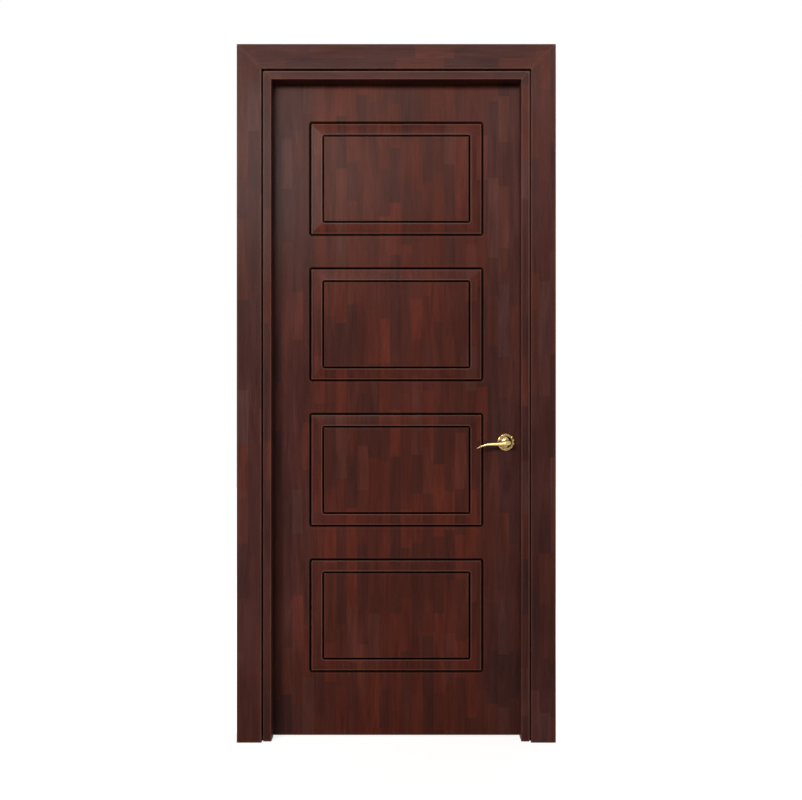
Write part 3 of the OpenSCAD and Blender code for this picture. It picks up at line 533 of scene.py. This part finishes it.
# Latch spring: a coil of plated steel wire between the case and the bolt, wound by machine.
SPRING_RADIUS = 0.0038
WIRE_RADIUS = 0.0005
SPRING_TURNS = 6
WIRE_SIDES = 10
STEPS_PER_TURN = 20
MERGE_GAP = 0.00001
WIRE_SMOOTH = math.radians(60)
spring_low, spring_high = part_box("latch_spring")
spring_start = Vector(
    (spring_low.x + WIRE_RADIUS, (spring_low.y + spring_high.y) / 2, (spring_low.z + spring_high.z) / 2)
)
spring_length = spring_high.x - spring_low.x - 2 * WIRE_RADIUS
bpy.ops.object.select_all(action="DESELECT")
bpy.ops.mesh.primitive_circle_add(
    vertices=WIRE_SIDES, radius=WIRE_RADIUS, location=(0, 0, SPRING_RADIUS), rotation=(math.pi / 2, 0, 0)
)
spring = bpy.context.object
spring.name = "latch_spring_coil"
bpy.ops.object.transform_apply(location=True, rotation=True, scale=True)
bpy.ops.object.modifier_add(type="SCREW")
coil = spring.modifiers[-1]
coil.axis = "X"
coil.angle = 2 * math.pi
coil.iterations = SPRING_TURNS
coil.screw_offset = spring_length / SPRING_TURNS
coil.steps = STEPS_PER_TURN
coil.render_steps = STEPS_PER_TURN
bpy.ops.object.modifier_apply(modifier=coil.name)
bpy.ops.object.mode_set(mode="EDIT")
bpy.ops.mesh.select_all(action="SELECT")
bpy.ops.mesh.remove_doubles(threshold=MERGE_GAP)
bpy.ops.mesh.fill_holes(sides=0)
bpy.ops.mesh.select_all(action="SELECT")
bpy.ops.mesh.normals_make_consistent(inside=False)
bpy.ops.object.mode_set(mode="OBJECT")
spring.location = spring_start
bpy.ops.object.transform_apply(location=True, rotation=True, scale=True)
bpy.ops.object.shade_smooth_by_angle(angle=WIRE_SMOOTH)
spring.data.materials.append(plated_steel)
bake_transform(spring)
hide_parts("latch_spring")


# Roses: spun brass covers over the steel bases, one on each face of the leaf, with a fluted bead round the
# rim. They hide the screws of the bases and are polished like the levers.
finish_with(polished_brass, "front_rose", "rear_rose")


# Levers: cast brass, polished by hand. A turned neck runs in the rose's base, and the arm sweeps from a
# full heel over the spindle to a thin tip that drops and bends back toward the leaf.
LEVER_STATIONS = (
    # along, rise, stand, height, thickness
    (15.0, -1.0, 50.0, 1.6, 1.6),
    (14.4, -1.0, 50.0, 6.4, 5.6),
    (12.6, -1.0, 50.0, 12.0, 10.0),
    (9.5, -1.0, 50.0, 16.6, 13.2),
    (5.0, -1.1, 50.0, 19.6, 15.2),
    (0.0, -1.4, 50.0, 20.2, 16.0),
    (-6.0, -2.2, 50.0, 18.4, 15.8),
    (-12.0, -3.0, 50.0, 16.4, 15.0),
    (-18.0, -3.7, 50.0, 14.8, 14.2),
    (-26.0, -4.2, 50.0, 13.2, 13.0),
    (-36.0, -4.5, 49.8, 11.8, 11.8),
    (-46.0, -4.8, 49.5, 10.8, 10.8),
    (-56.0, -5.3, 49.0, 9.8, 10.0),
    (-65.0, -6.5, 48.2, 8.8, 9.2),
    (-73.0, -8.8, 47.2, 7.8, 8.6),
    (-80.0, -11.5, 46.2, 6.9, 7.8),
    (-86.0, -14.2, 45.2, 6.0, 7.0),
    (-91.0, -16.6, 44.4, 4.8, 5.8),
    (-94.0, -18.0, 43.9, 3.0, 4.0),
    (-95.0, -18.5, 43.8, 0.8, 1.4),
)
NECK_STATIONS = (
    # stand, radius
    (-8.0, 7.9),
    (14.0, 7.9),
    (20.0, 7.4),
    (28.0, 7.2),
    (36.0, 7.6),
    (42.0, 8.6),
    (48.0, 9.2),
)
LEVER_SIDES = 24
LEVER_SUBDIVISIONS = 2
LEVER_SMOOTH = math.radians(42)
MM = 0.001
rose_low, rose_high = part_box("front_rose")
leaf_low, leaf_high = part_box("door_leaf")
spindle_x = (rose_low.x + rose_high.x) / 2
spindle_z = (rose_low.z + rose_high.z) / 2


def lever_point(along, rise, stand, side):
    """A point of a lever by its distance from the spindle and from the leaf's face on one side."""
    face = leaf_low.y if side < 0 else leaf_high.y
    return Vector((spindle_x + along * MM, face + side * stand * MM, spindle_z + rise * MM))


def swept(name, stations, turn):
    """A solid pulled from a disc through stations, each a centre with a size along X, Y and Z."""
    bpy.ops.object.select_all(action="DESELECT")
    centre, size = stations[0]
    bpy.ops.mesh.primitive_circle_add(
        vertices=LEVER_SIDES, radius=0.5, fill_type="NGON", location=centre, rotation=turn
    )
    made = bpy.context.object
    made.name = name
    bpy.ops.object.transform_apply(location=True, rotation=True, scale=True)
    bpy.ops.object.mode_set(mode="EDIT")
    bpy.ops.mesh.select_mode(type="VERT")
    bpy.ops.mesh.select_all(action="SELECT")
    bpy.ops.transform.resize(value=size, center_override=centre)
    for (last, last_size), (centre, size) in zip(stations, stations[1:]):
        bpy.ops.mesh.extrude_region_move(TRANSFORM_OT_translate={"value": centre - last})
        bpy.ops.transform.resize(
            value=[new / old for new, old in zip(size, last_size)], center_override=centre
        )
    bpy.ops.mesh.select_all(action="SELECT")
    bpy.ops.mesh.normals_make_consistent(inside=False)
    bpy.ops.object.mode_set(mode="OBJECT")
    return made


def make_lever(name, side):
    """One lever on the leaf's front (side -1) or rear (side 1): the arm, with its neck joined on."""
    arm = swept(
        name,
        [
            (lever_point(along, rise, stand, side), (1, thickness * MM, height * MM))
            for along, rise, stand, height, thickness in LEVER_STATIONS
        ],
        (0, math.pi / 2, 0),
    )
    bpy.ops.object.modifier_add(type="SUBSURF")
    rounding = arm.modifiers[-1]
    rounding.levels = LEVER_SUBDIVISIONS
    rounding.render_levels = LEVER_SUBDIVISIONS
    bpy.ops.object.modifier_apply(modifier=rounding.name)
    neck = swept(
        name + "_neck",
        [
            (lever_point(0, 0, stand, side), (2 * radius * MM, 1, 2 * radius * MM))
            for stand, radius in NECK_STATIONS
        ],
        (math.pi / 2, 0, 0),
    )
    bpy.ops.object.select_all(action="DESELECT")
    arm.select_set(True)
    bpy.context.view_layer.objects.active = arm
    bpy.ops.object.modifier_add(type="BOOLEAN")
    joint = arm.modifiers[-1]
    joint.operation = "UNION"
    joint.object = neck
    bpy.ops.object.modifier_apply(modifier=joint.name)
    bpy.data.objects.remove(neck)
    bpy.ops.object.shade_smooth_by_angle(angle=LEVER_SMOOTH)
    return arm


for name, side, node in (("front_lever_cast", -1, "front_lever"), ("rear_lever_cast", 1, "rear_lever")):
    lever = make_lever(name, side)
    lever.data.materials.append(polished_brass)
    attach(lever, "lever")
    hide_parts(node)


# Studio: a plain pale floor that fades to white, one wide gridded softbox far on the upper left that falls
# off to the right, two small ones for the upper right and the lower left, one behind for the rear face, and
# a pale surround.
WHITE = "#FFFFFF"
LAMP_TINT = "#FFF8F0"
AMBIENT = 0.18
FLOOR_SIZE = 24
FLOOR_PAINT = "#DADADA"
FLOOR_GLOW = 0.80
FADE_START, FADE_END = 0.9, 2.6
scene = bpy.context.scene
scene.view_settings.view_transform = "Standard"


def seen_rays(tree):
    """1 for rays of the camera, of reflections and of things seen through glass, and 0 for others."""
    path = add_node(tree, "ShaderNodeLightPath")
    either = add_node(
        tree,
        "ShaderNodeMath",
        {0: path.outputs["Is Camera Ray"], 1: path.outputs["Is Glossy Ray"]},
        operation="MAXIMUM",
    )
    return add_node(
        tree,
        "ShaderNodeMath",
        {0: either.outputs[0], 1: path.outputs["Is Transmission Ray"]},
        operation="MAXIMUM",
    ).outputs[0]


scene.world = bpy.data.worlds.new("pale_surround")
scene.world.use_nodes = True
sky = scene.world.node_tree
sky.nodes.clear()
sky_level = add_node(
    sky, "ShaderNodeMath", {0: seen_rays(sky), 1: 1 - AMBIENT, 2: AMBIENT}, operation="MULTIPLY_ADD"
)
sky_light = add_node(
    sky, "ShaderNodeBackground", {"Color": linear(WHITE), "Strength": sky_level.outputs[0]}
)
add_node(sky, "ShaderNodeOutputWorld", {"Surface": sky_light.outputs[0]})

bpy.ops.object.select_all(action="DESELECT")
bpy.ops.mesh.primitive_plane_add(size=FLOOR_SIZE, location=(0, 0, 0))
floor = bpy.context.object
floor.name = "pale_floor"
floor_paint, floor_tree, floor_output = new_material("pale_floor_paint")
floor_place = add_node(floor_tree, "ShaderNodeTexCoord")
floor_reach = add_node(
    floor_tree, "ShaderNodeVectorMath", {0: floor_place.outputs["Object"]}, operation="LENGTH"
)
floor_fade = add_node(
    floor_tree,
    "ShaderNodeMapRange",
    {
        "Value": floor_reach.outputs["Value"],
        "From Min": FADE_START,
        "From Max": FADE_END,
        "To Min": FLOOR_GLOW,
        "To Max": 1.0,
    },
    interpolation_type="SMOOTHSTEP",
)
floor_level = add_node(
    floor_tree, "ShaderNodeMath", {0: floor_fade.outputs[0], 1: seen_rays(floor_tree)}, operation="MULTIPLY"
)
floor_glow = add_node(
    floor_tree, "ShaderNodeEmission", {"Color": linear(WHITE), "Strength": floor_level.outputs[0]}
)
floor_matt = add_node(floor_tree, "ShaderNodeBsdfDiffuse", {"Color": linear(FLOOR_PAINT)})
floor_both = add_node(
    floor_tree, "ShaderNodeAddShader", {0: floor_glow.outputs[0], 1: floor_matt.outputs[0]}
)
floor_tree.links.new(floor_both.outputs[0], floor_output.inputs["Surface"])
floor.data.materials.append(floor_paint)


def soft_lamp(name, place, target, width, height, spread, power):
    """A rectangular soft lamp aimed at a point, whose grid narrows it to an angle."""
    data = bpy.data.lights.new(name, "AREA")
    data.shape = "RECTANGLE"
    data.size, data.size_y = width, height
    data.spread = math.radians(spread)
    data.energy = power
    data.color = linear(LAMP_TINT)[:3]
    lamp = bpy.data.objects.new(name, data)
    scene.collection.objects.link(lamp)
    lamp.location = place
    lamp.rotation_euler = (Vector(target) - Vector(place)).to_track_quat("-Z", "Y").to_euler()


for softbox in (
    # name, place, target, width, height, spread in degrees, power in watts
    ("front_softbox", (-2.1, -7.0, 3.1), (0.1, 0.0, 2.4), 4.2, 1.3, 60, 69),
    ("upper_softbox", (0.8, -7.0, 3.75), (0.32, 0.0, 2.08), 2.0, 1.0, 14, 0.8),
    ("low_softbox", (-1.3, -1.9, 0.75), (-0.6, 0.0, 0.4), 0.4, 0.8, 45, 1.1),
    ("rear_softbox", (1.3, 2.4, 2.4), (0.0, 0.0, 1.2), 1.2, 1.2, 180, 70),
):
    soft_lamp(*softbox)


# Camera: level with the middle of the door and square to it, as the photograph was taken, and as far off
# as the narrow reveals beside the leaf show.
CAMERA_PLACE = (0.0144, -4.2485, 1.052)
LENS_LENGTH, SENSOR_WIDTH = 60.8, 36.0
camera_data = bpy.data.cameras.new("camera")
camera_data.sensor_width = SENSOR_WIDTH
camera_data.lens = LENS_LENGTH
camera = bpy.data.objects.new("camera", camera_data)
scene.collection.objects.link(camera)
camera.location = CAMERA_PLACE
camera.rotation_euler = (math.pi / 2, 0, 0)
scene.camera = camera
